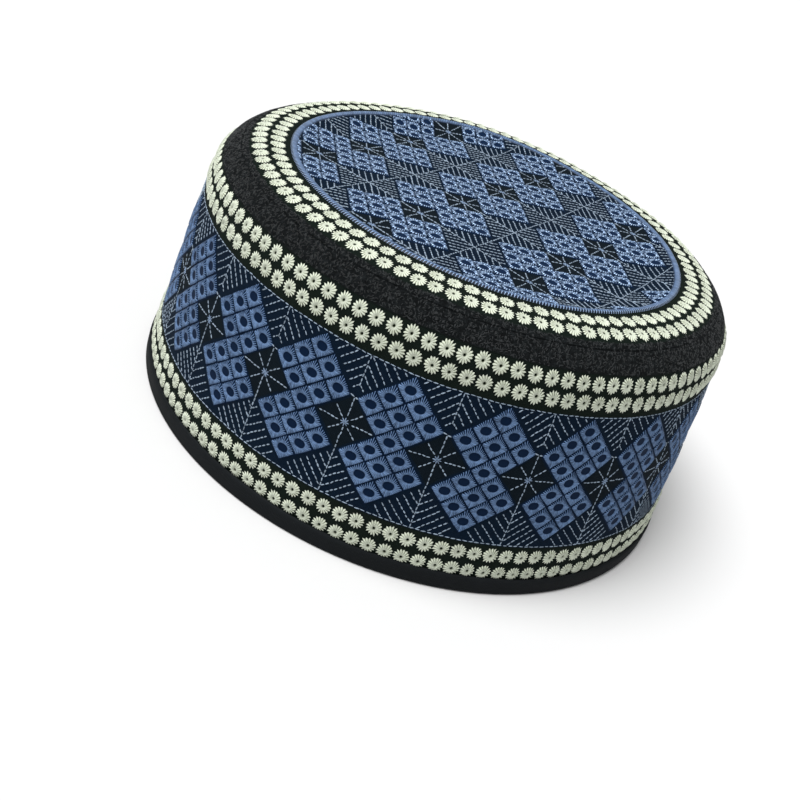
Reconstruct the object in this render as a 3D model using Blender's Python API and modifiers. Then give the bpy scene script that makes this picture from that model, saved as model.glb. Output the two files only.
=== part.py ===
# Kufi: a stiff round cap of embroidered cotton, in metres, +Z up.
# It stands on its rim, with the origin in the middle of the rim on the ground.
# Three turned pieces: the crown, the tall side band and the hem binding round
# the lower edge.  The top is pressed very slightly oval.

import math

import bmesh
import bpy

MM = 0.001

# Driving dimensions
RIM_RADIUS = 94.0 * MM        # over the binding, at the ground
WALL = 2.0 * MM               # two layers of cotton and their stitching
BINDING_WALL = 1.0 * MM       # one folded strip
GAP = 0.3 * MM                # between neighbouring pieces
BINDING_HEIGHT = 5.6 * MM     # the strip's outer face
BINDING_INSIDE = 7.0 * MM     # the strip's inner face
BINDING_EDGE = 0.5 * MM       # softening of the strip's folds
SHOULDER_RADIUS = 15.0 * MM   # the rounded upper edge
SEAM_ANGLE = math.radians(56)  # where the seam lies on the shoulder, from level
SEAM_LIP = 1.0 * MM           # rounding of the cloth where it turns in at the seam
SEAM_ALLOWANCE = 5.0 * MM     # depth of the turned-in edges
CROWN_OVAL = 0.012            # how far the crown is out of round
OVAL_ANGLE = math.radians(45)  # direction of the crown's long axis

TURN_STEPS = 72
SHOULDER_STEPS = 8
LIP_STEPS = 3
SHARP_ANGLE = math.radians(40)
MERGE = 0.00001

# Outside of the side band below the shoulder: height above the ground, and how
# far the cloth lies inside RIM_RADIUS there.
SIDE_ROWS = (
    (8.0 * MM, 1.4 * MM),
    (17.5 * MM, 2.3 * MM),
    (28.0 * MM, 3.1 * MM),
    (39.0 * MM, 4.1 * MM),
    (50.0 * MM, 5.2 * MM),
    (61.0 * MM, 6.5 * MM),
    (67.8 * MM, 7.4 * MM),
)

# Top of the crown inside the shoulder: radius, and height over the shoulder's top.
CROWN_ROWS = (
    (0.0 * MM, -1.2 * MM),
    (24.0 * MM, -0.9 * MM),
    (44.0 * MM, -0.2 * MM),
    (58.0 * MM, 0.3 * MM),
    (66.0 * MM, 0.3 * MM),
)

BLACK_COTTON = (0.020, 0.022, 0.025, 1.0)
BLUE_EMBROIDERY = (0.055, 0.090, 0.200, 1.0)
HEM_COTTON = (0.012, 0.013, 0.018, 1.0)


def clear_scene():
    """Remove every object, so the script can be run again."""
    for thing in list(bpy.data.objects):
        bpy.data.objects.remove(thing, do_unlink=True)


def cloth(name, colour, roughness):
    """Return a plain cloth material."""
    material = bpy.data.materials.new(name)
    material.use_nodes = True
    shader = material.node_tree.nodes["Principled BSDF"]
    shader.inputs["Base Color"].default_value = colour
    shader.inputs["Roughness"].default_value = roughness
    shader.inputs["Metallic"].default_value = 0.0
    return material


def slope_angle():
    """Lean of the wall where the shoulder starts, measured from upright."""
    (low, low_inset), (high, high_inset) = SIDE_ROWS[-2:]
    return math.atan2(high_inset - low_inset, high - low)


def shoulder_centre():
    """Centre of the shoulder's arc as (radius, height)."""
    height, inset = SIDE_ROWS[-1]
    lean = slope_angle()
    return (
        RIM_RADIUS - inset - SHOULDER_RADIUS * math.cos(lean),
        height - SHOULDER_RADIUS * math.sin(lean),
    )


def shoulder_top():
    """Height of the shoulder's highest ring."""
    return shoulder_centre()[1] + SHOULDER_RADIUS


def on_shoulder(angle, depth=0.0):
    """A point of the shoulder at an angle from level, sunk by depth under the cloth's face."""
    radius, height = shoulder_centre()
    reach = SHOULDER_RADIUS - depth
    return (radius + reach * math.cos(angle), height + reach * math.sin(angle))


def shoulder_arc(start, end, depth=0.0):
    """Points along the shoulder from one angle to another."""
    steps = SHOULDER_STEPS
    return [on_shoulder(start + (end - start) * i / steps, depth) for i in range(steps + 1)]


def lip_shift():
    """Angle from the seam's middle to where a lip's rounding starts."""
    return (SEAM_LIP + GAP / 2) / (SHOULDER_RADIUS - SEAM_LIP)


def seam_lip(side):
    """The cloth's rounded turn into the seam, from the outer face inwards.

    side is +1 for the crown's edge, above the seam, and -1 for the band's edge.
    """
    shift = lip_shift()
    centre = on_shoulder(SEAM_ANGLE + side * shift, SEAM_LIP)
    points = []
    for i in range(LIP_STEPS + 1):
        turn = SEAM_ANGLE + side * (shift - math.pi / 2 * i / LIP_STEPS)
        points.append(
            (
                centre[0] + SEAM_LIP * math.cos(turn),
                centre[1] + SEAM_LIP * math.sin(turn),
            )
        )
    return points


def sunk_from_seam(side, across, depth):
    """A point beside the seam: so far across from its middle, so deep under the face."""
    along = SEAM_ANGLE + side * math.pi / 2
    base = on_shoulder(SEAM_ANGLE, depth)
    return (base[0] + across * math.cos(along), base[1] + across * math.sin(along))


def seam_allowance(side):
    """The turned-in edge of one piece: down its seam side, and back up its own side."""
    near = GAP / 2
    far = GAP / 2 + WALL
    return [
        sunk_from_seam(side, near, SEAM_ALLOWANCE),
        sunk_from_seam(side, far, SEAM_ALLOWANCE),
        sunk_from_seam(side, far, WALL),
    ]


def crown_outline():
    """Section of the crown, from the axis over the top, round the edge and back below."""
    face = [(radius, shoulder_top() + rise) for radius, rise in CROWN_ROWS]
    under = [(radius, height - WALL) for radius, height in reversed(face)]
    lip = seam_lip(1)
    edge = shoulder_arc(math.pi / 2, SEAM_ANGLE + lip_shift())[:-1]
    allowance_angle = SEAM_ANGLE + (GAP / 2 + WALL) / (SHOULDER_RADIUS - WALL)
    inner_edge = shoulder_arc(allowance_angle, math.pi / 2, WALL)[2::2]
    return face + edge + lip + seam_allowance(1) + inner_edge + under


def side_outline():
    """Section of the side band, down its outer face from the seam and back up inside."""
    lean = slope_angle()
    lip = list(reversed(seam_lip(-1)))
    arc = shoulder_arc(SEAM_ANGLE - lip_shift(), lean)[1:]
    rows = list(reversed(SIDE_ROWS))[1:]
    face = [(RIM_RADIUS - inset, height) for height, inset in rows]
    foot_height = BINDING_WALL + GAP
    foot_radius = RIM_RADIUS - BINDING_WALL - GAP
    foot = [(foot_radius, foot_height), (foot_radius - WALL, foot_height)]
    inside = [(radius - WALL, height) for radius, height in reversed(face)]
    inner_arc = shoulder_arc(lean, SEAM_ANGLE - (GAP / 2 + WALL) / (SHOULDER_RADIUS - WALL), WALL)
    allowance = list(reversed(seam_allowance(-1)))
    return lip + arc + face + foot + inside + inner_arc[0:-1:2] + allowance


def side_radius(height):
    """Radius of the side band's outer face between its foot and the first row above it."""
    first_height, first_inset = SIDE_ROWS[0]
    foot_height = BINDING_WALL + GAP
    foot_radius = RIM_RADIUS - BINDING_WALL - GAP
    share = (height - foot_height) / (first_height - foot_height)
    return foot_radius + share * (RIM_RADIUS - first_inset - foot_radius)


def binding_outline():
    """Section of the hem binding: a U folded round the lower edge of the wall."""
    outer_top = side_radius(BINDING_HEIGHT) + GAP
    inner_top = side_radius(BINDING_INSIDE) - WALL - GAP
    outer_foot = side_radius(BINDING_WALL) + GAP
    inner_foot = side_radius(BINDING_WALL) - WALL - GAP
    return [
        (outer_top, BINDING_HEIGHT),
        (outer_top + BINDING_WALL - BINDING_EDGE, BINDING_HEIGHT),
        (outer_top + BINDING_WALL, BINDING_HEIGHT - BINDING_EDGE),
        (RIM_RADIUS, BINDING_EDGE),
        (RIM_RADIUS - BINDING_EDGE, 0.0),
        (inner_foot - BINDING_WALL + BINDING_EDGE, 0.0),
        (inner_foot - BINDING_WALL, BINDING_EDGE),
        (inner_top - BINDING_WALL, BINDING_INSIDE),
        (inner_top, BINDING_INSIDE),
        (inner_foot, BINDING_WALL),
        (outer_foot, BINDING_WALL),
    ]


def press_oval(mesh):
    """Press the cap slightly oval, from nothing at the ground to the full amount at the top."""
    top = shoulder_top()
    for vertex in mesh.vertices:
        angle = math.atan2(vertex.co.y, vertex.co.x)
        share = max(0.0, vertex.co.z - BINDING_INSIDE) / top
        swell = 1 + CROWN_OVAL * share * math.cos(2 * (angle - OVAL_ANGLE))
        vertex.co.x *= swell
        vertex.co.y *= swell


def turned(name, outline, material, collection, closed=True):
    """Turn a section about the Z axis with a Screw modifier and keep it as a solid object."""
    mesh = bpy.data.meshes.new(name)
    section = bmesh.new()
    points = [section.verts.new((radius, 0.0, height)) for radius, height in outline]
    for first, second in zip(points, points[1:]):
        section.edges.new((first, second))
    if closed:
        section.edges.new((points[-1], points[0]))
    section.to_mesh(mesh)
    section.free()
    guide = bpy.data.objects.new(name, mesh)
    collection.objects.link(guide)
    screw = guide.modifiers.new("Turn", "SCREW")
    screw.axis = "Z"
    screw.steps = TURN_STEPS
    screw.render_steps = TURN_STEPS
    screw.use_merge_vertices = True
    screw.merge_threshold = MERGE
    screw.use_smooth_shade = True
    bpy.context.view_layer.update()
    evaluated = guide.evaluated_get(bpy.context.evaluated_depsgraph_get())
    solid = bpy.data.meshes.new_from_object(evaluated)
    solid.name = name
    guide.modifiers.remove(screw)
    guide.data = solid
    bpy.data.meshes.remove(mesh)
    press_oval(solid)
    solid.materials.clear()
    solid.materials.append(material)
    solid.shade_smooth()
    solid.set_sharp_from_angle(angle=SHARP_ANGLE)
    return guide


def build():
    """Make the three pieces of the cap."""
    clear_scene()
    kufi = bpy.data.collections.new("kufi")
    bpy.context.scene.collection.children.link(kufi)
    turned("crown", crown_outline(), cloth("crown_cotton", BLACK_COTTON, 0.9), kufi, closed=False)
    turned("side_band", side_outline(), cloth("side_cotton", BLUE_EMBROIDERY, 0.85), kufi)
    turned("hem_binding", binding_outline(), cloth("hem_cotton", HEM_COTTON, 0.9), kufi)


build()
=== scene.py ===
"""Kufi: a stiff round cap of black cotton, embroidered in blue and cream.

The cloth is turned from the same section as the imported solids.  The embroidery is
charted flat in millimetres, as on the frame before the cap is sewn up, and is then
wrapped over the cap.
"""

import math

import bmesh
import bpy
import numpy as np
from mathutils import Matrix, Vector


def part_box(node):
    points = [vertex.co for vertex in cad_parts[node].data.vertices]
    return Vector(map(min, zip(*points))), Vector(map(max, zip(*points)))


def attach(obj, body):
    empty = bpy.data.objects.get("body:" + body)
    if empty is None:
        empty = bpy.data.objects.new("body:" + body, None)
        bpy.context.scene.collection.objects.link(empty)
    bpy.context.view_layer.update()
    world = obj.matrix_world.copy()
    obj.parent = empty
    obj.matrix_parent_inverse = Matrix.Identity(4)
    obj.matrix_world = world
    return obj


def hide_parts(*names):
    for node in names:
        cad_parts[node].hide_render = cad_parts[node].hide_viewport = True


bl_info = {
    "name": "Embroidered Kufi",
    "version": (1, 0, 0),
    "blender": (4, 5, 0),
    "location": "3D View > Sidebar > Kufi",
    "description": "Turns the cloth of a kufi and lays its embroidery",
    "category": "Add Mesh",
}

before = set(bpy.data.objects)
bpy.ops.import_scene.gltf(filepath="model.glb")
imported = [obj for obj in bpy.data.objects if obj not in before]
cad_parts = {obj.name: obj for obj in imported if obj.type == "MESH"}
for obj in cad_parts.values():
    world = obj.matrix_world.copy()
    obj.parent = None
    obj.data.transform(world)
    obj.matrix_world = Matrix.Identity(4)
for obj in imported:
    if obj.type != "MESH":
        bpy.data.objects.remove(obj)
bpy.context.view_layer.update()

MM = 0.001

# The cap's section, in millimetres
RIM_RADIUS = round(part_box("hem_binding")[1].x / MM, 2)
SIDE_ROWS = (
    (0.0, 92.7),
    (8.0, 92.6),
    (17.5, 91.7),
    (28.0, 90.9),
    (39.0, 89.9),
    (50.0, 88.8),
    (61.0, 87.5),
    (67.8, 86.6),
)
SHOULDER_RADIUS = 15.0
CROWN_ROWS = ((66.0, 0.3), (58.0, 0.3), (44.0, -0.2), (24.0, -0.9), (0.0, -1.2))
WALL = 2.0
SEAM_ANGLE = math.radians(56)
SEAM_GAP = 0.05
SEAM_LIP = 0.3
SEAM_ALLOWANCE = 5.0
FOOT_HEIGHT = 1.3
CROWN_OVAL = 0.012
OVAL_ANGLE = math.radians(45)
OVAL_FROM = 7.0
BOW_ANGLE = math.radians(58)
BOW_DEPTH = 2.2
BOW_INNER = 52.0
BOW_OUTER = 66.0
BACK_REACH = 6.0  # the crown's rear is drawn out a little
BACK_FOOT = 40.0
BACK_TOP = 66.0
BACK_RISE = 60.0
CREST_HEIGHT = 1.2  # and its edge stands up there
CREST_ANGLE = math.radians(97)
CREST_RIGHT = math.radians(60)
CREST_LEFT = math.radians(32)
CREST_FOOT = 55.0
CREST_TOP = 66.0
CREST_END = 84.0
FACE_STEP = 0.5
SIDE_SHARE = 90.0

# Chart of the side, in millimetres: height is measured along the cloth from the rim
STAR_ANGLE = math.radians(-150.3)
REPEATS = 21
STAR_HEIGHT = 40.1
UPPER_LINE = 61.2
LOWER_LINE = 17.3
SIDE_CELL = (4.22, 4.15)
SIDE_DAISIES = (
    (71.1, 110, 0.89),
    (65.4, 112, 1.19),
    (13.4, 115, 0.26),
    (7.4, 117, 2.06),
)

# Chart of the crown
CROWN_DAISIES = ((75.3, 96, 0.08), (69.7, 88, 3.49))
CROWN_STAR = (2.2, 17.8)
CROWN_PERIOD = (26.1, 39.7)
CROWN_TURN = math.radians(67.5)
CROWN_CELL = (4.25, 3.73)

FIGURE_ROWS = (1, 2, 3, 2, 1, 2, 3, 2, 1)
SIDE_THREADS = 30
CROWN_THREADS = 24
CROWN_EYE = 1.1  # the crown's eyelets are a little larger than the side's
DAISY_KINDS = 5
SEED = 7


def face_profile():
    """Outer face from the rim up, over the shoulder and in to the crown's middle, as radius and height."""
    (low_height, low_radius), (high_height, high_radius) = SIDE_ROWS[-2:]
    lean = math.atan2(low_radius - high_radius, high_height - low_height)
    centre = (
        high_radius - SHOULDER_RADIUS * math.cos(lean),
        high_height - SHOULDER_RADIUS * math.sin(lean),
    )
    rows = [(radius, height) for height, radius in SIDE_ROWS]
    for step in range(1, 25):
        angle = lean + (math.pi / 2 - lean) * step / 24
        rows.append(
            (
                centre[0] + SHOULDER_RADIUS * math.cos(angle),
                centre[1] + SHOULDER_RADIUS * math.sin(angle),
            )
        )
    top = centre[1] + SHOULDER_RADIUS
    rows += [(radius, top + rise) for radius, rise in CROWN_ROWS]
    rows = np.array(rows)
    along = np.concatenate([[0], np.cumsum(np.hypot(*np.diff(rows, axis=0).T))])
    return rows, along, centre, lean


ROWS, ALONG, SHOULDER_CENTRE, SHOULDER_LEAN = face_profile()
FULL_LENGTH = float(ALONG[-1])
FINE = np.linspace(0, FULL_LENGTH, int(FULL_LENGTH / FACE_STEP) + 1)
FINE_RADIUS = np.interp(FINE, ALONG, ROWS[:, 0])
FINE_HEIGHT = np.interp(FINE, ALONG, ROWS[:, 1])


def smooth(values, width=5):
    """Running mean that keeps both ends."""
    padded = np.concatenate([np.full(width, values[0]), values, np.full(width, values[-1])])
    kernel = np.ones(2 * width + 1) / (2 * width + 1)
    return np.convolve(padded, kernel, mode="valid")


SLOPE_RADIUS = smooth(np.gradient(FINE_RADIUS, FINE))
SLOPE_HEIGHT = smooth(np.gradient(FINE_HEIGHT, FINE))


def along_at_radius(radius):
    """Length along the face where the crown reaches a radius."""
    crown = FINE > ALONG[len(SIDE_ROWS)]
    return float(np.interp(-radius, -FINE_RADIUS[crown], FINE[crown]))


def seam_along():
    """Length along the face where the seam lies."""
    start = ALONG[len(SIDE_ROWS) - 1]
    return float(start + SHOULDER_RADIUS * (SEAM_ANGLE - SHOULDER_LEAN))


def press_oval(points):
    """Press the cap slightly oval and draw its back out, both more towards the top."""
    top = SHOULDER_CENTRE[1] + SHOULDER_RADIUS
    back = drawn_back(points[:, 0], points[:, 1])[1] - points[:, 1]
    back = back * smooth_step((points[:, 2] - OVAL_FROM) / BACK_RISE)
    angle = np.arctan2(points[:, 1], points[:, 0])
    share = np.maximum(0, points[:, 2] - OVAL_FROM) / top
    swell = 1 + CROWN_OVAL * share * np.cos(2 * (angle - OVAL_ANGLE))
    points[:, :2] *= swell[:, None]
    points[:, 1] += back
    return points


def behind(x, y):
    """How much a place takes part in the drawn-out rear: 1 in its middle, 0 in front."""
    turn = np.arctan2(y, x) - CREST_ANGLE
    return np.exp(-((turn / np.where(turn < 0, CREST_RIGHT, CREST_LEFT)) ** 2))


def drawn_back(x, y):
    """Where a place of the crown comes to lie when its rear is drawn out."""
    share = smooth_step((np.hypot(x, y) - BACK_FOOT) / (BACK_TOP - BACK_FOOT))
    return x, y + BACK_REACH * behind(x, y) * share


def before_drawn(x, y, rounds=12):
    """The place of the crown that comes to lie at a place of the drawn-out pattern."""
    start = y
    for _ in range(rounds):
        start = y - (drawn_back(x, start)[1] - start)
    return x, start


def round_reach(spot):
    """Distance of a place of the pattern from the crown's middle, before it is drawn out."""
    return float(np.hypot(*before_drawn(*spot[:2])))


def crown_bow(x, y):
    """How far the crown sinks beside its low ridge and rises in a crest behind the ring."""
    radius = np.hypot(x, y)
    reach = smooth_step((radius - BOW_INNER) / (BOW_OUTER - BOW_INNER))
    aside = y * math.cos(BOW_ANGLE) - x * math.sin(BOW_ANGLE)
    bow = -BOW_DEPTH * (aside / 50) ** 2 * (1 - reach)
    rise = smooth_step((radius - CREST_FOOT) / (CREST_TOP - CREST_FOOT))
    fall = smooth_step((radius - CREST_TOP) / (CREST_END - CREST_TOP))
    return bow + CREST_HEIGHT * behind(x, y) * rise * (1 - fall)


def smooth_step(share):
    """A share from 0 to 1, eased at both ends."""
    share = np.clip(share, 0, 1)
    return share * share * (3 - 2 * share)


def unevenness(points):
    """Slight hand-made unevenness of the cloth, in millimetres, the same for cloth and stitches."""
    x, y, z = points.T
    broad = np.sin(0.071 * x + 0.9) * np.sin(0.083 * y + 2.1) + np.sin(0.118 * z + 0.06 * x + 0.4)
    small = np.sin(0.31 * x + 0.23 * y + 1.3) * np.sin(0.27 * z + 0.19 * y + 0.7)
    return 0.13 * broad + 0.05 * small


def on_cap(angle, along, lift):
    """Points over the face at an angle, a length along the face, and a lift off it."""
    radius = np.interp(along, FINE, FINE_RADIUS)
    height = np.interp(along, FINE, FINE_HEIGHT)
    slope_radius = np.interp(along, FINE, SLOPE_RADIUS)
    slope_height = np.interp(along, FINE, SLOPE_HEIGHT)
    length = np.hypot(slope_radius, slope_height)
    base = np.stack([radius * np.cos(angle), radius * np.sin(angle), height], axis=1)
    lift = lift + unevenness(base)
    radius = radius + lift * slope_height / length
    height = height - lift * slope_radius / length
    moved = np.stack([radius * np.cos(angle), radius * np.sin(angle), height], axis=1)
    moved[:, 2] += crown_bow(moved[:, 0], moved[:, 1])
    return press_oval(moved)


# Node trees


class Wire:
    """A socket that takes part in Python expressions. Each operator adds a Math node."""

    def __init__(self, graph, socket):
        self.graph = graph
        self.socket = socket

    def math(self, operation, *values):
        """The result of a Math node on this socket and others."""
        inputs = dict(enumerate((self,) + values))
        return self.graph.node("ShaderNodeMath", {"operation": operation}, inputs)

    def __add__(self, other):
        return self.math("ADD", other)

    def __sub__(self, other):
        return self.math("SUBTRACT", other)

    def __rsub__(self, other):
        return self.graph.node("ShaderNodeMath", {"operation": "SUBTRACT"}, {0: other, 1: self})

    def __mul__(self, other):
        return self.math("MULTIPLY", other)

    def __truediv__(self, other):
        return self.math("DIVIDE", other)

    def __gt__(self, other):
        return self.math("GREATER_THAN", other)

    def __lt__(self, other):
        return self.math("LESS_THAN", other)

    __radd__ = __add__
    __rmul__ = __mul__


class Graph:
    """Adds nodes to a shader or geometry node tree."""

    def __init__(self, tree):
        self.tree = tree

    def node(self, kind, settings=None, inputs=None, output=0):
        """Add a node of a type, with its settings first and then the values or links of its sockets."""
        made = self.tree.nodes.new(kind)
        for name, value in (settings or {}).items():
            if name == "stops":
                self.set_stops(made.color_ramp, value)
            else:
                setattr(made, name, value)
        for name, value in (inputs or {}).items():
            if isinstance(value, Wire):
                self.tree.links.new(value.socket, made.inputs[name])
            else:
                made.inputs[name].default_value = value
        return Wire(self, made.outputs[output]) if len(made.outputs) else made

    def set_stops(self, ramp, stops):
        """Give a colour ramp its stops."""
        while len(ramp.elements) > 1:
            ramp.elements.remove(ramp.elements[-1])
        ramp.elements[0].position, ramp.elements[0].color = stops[0]
        for position, colour in stops[1:]:
            ramp.elements.new(position).color = colour

    def other(self, wire, output):
        """Another output of the node that a wire comes from."""
        return Wire(self, wire.socket.node.outputs[output])


class Finish(Graph):
    """A material of thread or cloth."""

    def __init__(self, name):
        self.material = bpy.data.materials.new(name)
        self.material.use_nodes = True
        super().__init__(self.material.node_tree)
        self.shader = self.tree.nodes["Principled BSDF"]

    def chart(self):
        """The two directions of the piece's own map."""
        place = self.node("ShaderNodeUVMap", {"uv_map": "UVMap"})
        across = self.node("ShaderNodeSeparateXYZ", None, {0: place})
        return place, across, self.other(across, 1)

    def mix(self, factor, first, second):
        """One colour where factor is 0 and another where it is 1."""
        return self.node(
            "ShaderNodeMix", {"data_type": "RGBA"}, {0: factor, 6: first, 7: second}, output=2
        )

    def shade(self, colour, factor):
        """A colour made darker or lighter by a number."""
        grey = self.node("ShaderNodeCombineColor", None, {0: factor, 1: factor, 2: factor})
        return self.node(
            "ShaderNodeMix",
            {"data_type": "RGBA", "blend_type": "MULTIPLY"},
            {0: 1.0, 6: colour, 7: grey},
            output=2,
        )

    def noise(self, place, scale, detail=2.0):
        """Soft noise on a map in millimetres."""
        return self.node(
            "ShaderNodeTexNoise", None, {"Vector": place, "Scale": scale, "Detail": detail}
        )

    def tint(self):
        """Each stitch's own number from 0 to 1."""
        return self.node("ShaderNodeAttribute", {"attribute_name": "tint"}, output=2)

    def wave(self, wire):
        """A ridge from 0 to 1 for each whole number of a wire."""
        return (wire * (2 * math.pi)).math("COSINE") * -0.5 + 0.5

    def ramp(self, wire, low, high):
        """0 below low, 1 above high and smooth between."""
        return self.node(
            "ShaderNodeMapRange",
            {"interpolation_type": "SMOOTHSTEP"},
            {0: wire, 1: low, 2: high, 3: 0.0, 4: 1.0},
        )

    def finish(self, colour, roughness, height=None, depth=0.0, **constants):
        """Connect what varies and set what is the same all over."""
        links = {"Base Color": colour, "Roughness": roughness}
        if height is not None:
            links["Normal"] = self.node(
                "ShaderNodeBump", None, {"Height": height, "Distance": depth * MM, "Strength": 1.0}
            )
        for name, value in links.items():
            if isinstance(value, Wire):
                self.tree.links.new(value.socket, self.shader.inputs[name])
            else:
                self.shader.inputs[name].default_value = value
        for name, value in constants.items():
            self.shader.inputs[name.replace("_", " ")].default_value = value
        return self.material


def linear(colour):
    """A colour property as four numbers."""
    return tuple(colour[:3]) + (1.0,)


def daisy_thread(colours):
    """Cream satin stitches: four threads a petal, painted shade in the slits between petals, and a dark
    eye.
    """
    make = Finish("cream_satin")
    place, petal, radius = make.chart()
    threads = make.wave(petal * 3.0)
    fibre = make.noise(place, 5.0)
    middle = make.wave(petal)
    # Painted shade: the cream is darkened in the slits between the petals.
    slit = (1.0 - make.ramp(middle, 0.0, 0.30)) * make.ramp(radius, 1.0, 1.9)
    eye = make.ramp(radius, 0.30, 0.52)
    light = 0.74 + threads * 0.14 + fibre * 0.20 + make.tint() * 0.08
    light = light * (1.0 - slit * 0.50) * (0.10 + eye * 0.90)
    # Painted shade: the darker places take the cream thread in painted shade.
    shadow = make.ramp(light, 0.35, 0.95)
    colour = make.mix(shadow, linear(colours.cream_in_painted_shade), linear(colours.cream))
    colour = make.shade(colour, light)
    height = threads * 0.4 + fibre * 0.3 + middle * 0.6 * make.ramp(radius, 0.6, 1.4)
    return make.finish(colour, 0.6, height, 0.14, Specular_IOR_Level=0.25)


def thread_chance(make, thread, other):
    """Each thread's own number from 0 to 1."""
    seed = make.node("ShaderNodeCombineXYZ", None, {0: thread.math("FLOOR"), 1: other})
    return make.node("ShaderNodeTexWhiteNoise", {"noise_dimensions": "2D"}, {0: seed})


def eyelet_thread(name, colours, threads, crown_light):
    """Blue satin stitches round an eyelet, with ragged ends over the dark ground.

    The slits between the threads are longer above the eyelet. The last argument, from 0 to 1,
    opens them and makes the threads more uneven, as on the crown; it also paints the threads
    lighter and paler, with a painted sheen, and paints the groove lighter, as the crown faces the light.
    """
    make = Finish(name)
    place, thread, reach = make.chart()
    tint = make.tint()
    chance_one = thread_chance(make, thread, tint * 97.0)
    chance_two = thread_chance(make, thread, tint * 61.0 + 5.0)
    ridge = make.wave(thread)
    above = (thread * (2 * math.pi / threads)).math("SINE").math("MAXIMUM", 0.0)
    above = above.math("POWER", 0.5)
    start = reach + above * (0.44 - 0.24 * crown_light) + chance_two * (0.16 + 0.14 * crown_light)
    opened = make.ramp(start, 0.86 - 0.50 * crown_light, 1.16 - 0.10 * crown_light)
    covered = make.ramp(ridge - opened * 0.80, -0.14, 0.0)
    end = 0.76 + chance_one * 0.06 + above * (0.12 + chance_one * 0.14)
    covered = covered * make.ramp(end - reach, -0.02, 0.03) * make.ramp(reach, -0.10, -0.02)
    fibre = make.noise(place, 3.5, 1.0)
    drawn = make.node("ShaderNodeMapping", None, {0: place, "Scale": (1.0, 1.0 + 2.0 * crown_light, 1.0)})
    streak = make.noise(drawn, 0.6 + 0.3 * crown_light, 1.0)
    light = 0.20 + ridge * 0.50 + chance_two * (0.50 + 0.3 * crown_light) + tint * 0.10
    light = light + (fibre - 0.5) * (0.8 - 0.4 * crown_light) + (streak - 0.5) * (0.5 + 7.0 * crown_light)
    # Painted highlight: the rim round the hole is painted lighter, more so on the crown.
    rim = 1.0 - make.ramp(reach, 0.05, 0.40)
    light = light + rim * (0.16 + 0.3 * crown_light)
    # Painted light: the crown's threads are painted lighter, as the crown faces the light.
    light = light.math("MAXIMUM", 0.12) * (0.95 + 0.22 * crown_light)
    # Painted sheen: on the crown the brightest threads turn a paler blue.
    pale = make.mix(0.65, linear(colours.blue), linear(colours.running))
    thread_colour = make.mix(make.ramp(light, 0.7, 2.0) * crown_light, linear(colours.blue), pale)
    # The crown's groove is painted a little lighter, as the crown faces the light.
    gap_colour = make.shade(linear(colours.groove), 1.0 + 0.2 * crown_light)
    colour = make.mix(covered, gap_colour, make.shade(thread_colour, light))
    height = ridge * covered * 0.7 + covered * 0.6
    return make.finish(colour, 0.5, height, 0.2 + 0.1 * crown_light, Specular_IOR_Level=0.03)


def ring_thread(colours):
    """Blue satin stitches slanting across the ring on the crown, with dark ragged edges."""
    make = Finish("blue_ring_satin")
    place, thread, across = make.chart()
    slant = thread + across * 0.8
    ridge = make.wave(slant)
    chance_one = thread_chance(make, slant, 3.0)
    outer = make.ramp(across, 0.60, 0.85)
    covered = make.ramp(ridge - outer * 0.9, -0.1, 0.12) * make.ramp(across, 0.0, 0.2)
    light = 0.46 + ridge * 0.26 + chance_one * 0.40 + outer * (0.45 + ridge * 0.9)
    pale = make.mix(0.6, linear(colours.blue), linear(colours.running))
    colour = make.shade(make.mix(outer, linear(colours.blue), pale), light)
    colour = make.mix(covered, linear(colours.groove), colour)
    return make.finish(colour, 0.45, ridge * covered, 0.3, Specular_IOR_Level=0.3)


def running_thread(colours):
    """Twisted pale blue thread of the running stitches."""
    make = Finish("running_thread")
    place, around, length = make.chart()
    twist = make.wave(around * 2.0 + length * 3.0)
    light = 0.60 + twist * 0.20 + make.tint() * 0.36
    colour = make.shade(linear(colours.running), light)
    return make.finish(colour, 0.6, twist, 0.05, Specular_IOR_Level=0.2)


def knot_thread(colours):
    """Blue thread of the stars' knots."""
    make = Finish("knot_thread")
    place, around, length = make.chart()
    colour = make.mix(0.45, linear(colours.blue), linear(colours.running))
    colour = make.shade(colour, 0.75 + make.tint() * 0.4)
    return make.finish(colour, 0.5, make.wave(around * 2.0), 0.05, Specular_IOR_Level=0.3)


def black_thread(colours):
    """Black thread of the seed stitches."""
    make = Finish("black_thread")
    colour = make.shade(linear(colours.margin), 0.7 + make.tint() * 1.2)
    return make.finish(colour, 0.55, Specular_IOR_Level=0.35)


def black_stitches(make, place):
    """Tangled black seed stitches of the margins: how raised and how light each place is, with painted
    highlights along the raised curls.
    """
    curls = None
    for scale, shift in ((0.8, 0.0), (1.1, 40.0), (1.5, 90.0)):
        moved = make.node("ShaderNodeMapping", None, {0: place, "Location": (shift, shift, 0.0)})
        level = make.noise(moved, scale, 1.0)
        curl = 1.0 - ((level - 0.5).math("ABSOLUTE") * 13.0).math("MINIMUM", 1.0)
        curls = curl if curls is None else curls.math("MAXIMUM", curl)
    fibre = make.noise(place, 4.0, 3.0)
    broad = make.ramp(make.noise(place, 0.45, 1.0), 0.3, 0.7)
    raised = curls + fibre * 0.4 + broad * 0.8
    # Painted highlight: the raised curls are painted lighter.
    light = 0.35 + curls * (0.5 + broad * 0.6) + fibre * 0.5 + broad * 0.3
    return raised, light


def plain_weave(make, place):
    """Fine plain weave, as a height."""
    split = make.node("ShaderNodeSeparateXYZ", None, {0: place})
    warp = make.wave(split * 2.2)
    weft = make.wave(make.other(split, 1) * 2.2)
    return warp * weft + make.noise(place, 3.0) * 0.5


def nearest_star(make, across, up, period, start):
    """How far a place is from the middle of its star's diamond."""
    across = (across - start[0]) / period[0]
    across = (across - across.math("ROUND")).math("ABSOLUTE") * period[0]
    up = (up - start[1]) / period[1]
    up = (up - up.math("ROUND")).math("ABSOLUTE") * period[1]
    return across + up


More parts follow.
